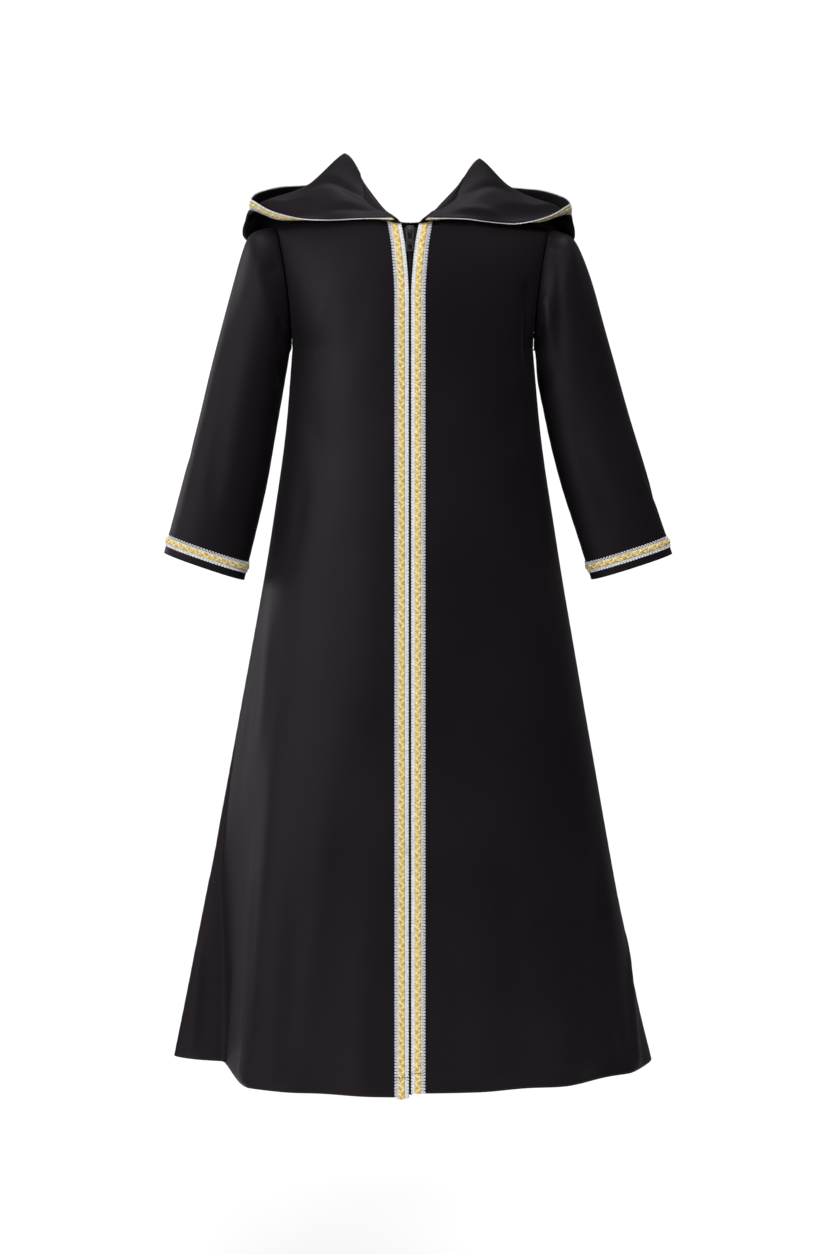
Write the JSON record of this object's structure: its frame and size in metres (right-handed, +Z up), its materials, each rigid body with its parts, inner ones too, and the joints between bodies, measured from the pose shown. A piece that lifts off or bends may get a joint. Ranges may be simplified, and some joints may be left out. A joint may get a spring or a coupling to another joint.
{
  "type": "hooded abaya",
  "caption": "Long black hooded abaya for a child, flared to the hem, hood laid back over the shoulders, zipped centre front, gold and silver braid on front, cuffs and hood",
  "frame": {"origin": "midpoint between the two high shoulder points of the neckline, where the garment is held on the wearer", "axes": "+Z up, -Y to the front of the garment, +X to the wearer's left"},
  "size_m": [0.5256, 0.2753, 0.9431],
  "materials": {
    "robe_cloth": "smooth matt satin polyester crepe, black",
    "braid": "woven trimming, gold chain stitch on silver-white ribbed ground",
    "zip_tape": "black woven tape and nylon coil",
    "zip_metal": "black enamel, slightly worn"
  },
  "bodies": {
    "garment": {"front_right": "robe_cloth", "front_left": "robe_cloth", "back": "robe_cloth", "sleeve_right": "robe_cloth", "sleeve_left": "robe_cloth", "hood_right": "robe_cloth", "hood_left": "robe_cloth", "braid_front_right": "braid", "braid_front_left": "braid", "braid_cuff_right": "braid", "braid_cuff_left": "braid", "braid_hood_right": "braid", "braid_hood_left": "braid", "zip_tape_right": "zip_tape", "zip_tape_left": "zip_tape", "zip_chain": "zip_tape", "zip_slider": "zip_metal"},
    "pull_tab": {"zip_pull": "zip_metal"}
  },
  "joints": [
    {"name": "pull_swing", "type": "hinge", "parent": "garment", "child": "pull_tab", "pos_m": [0, -0.06875, -0.04186], "axis": [-1, 0, 0], "range_deg": [0, 160]}
  ]
}
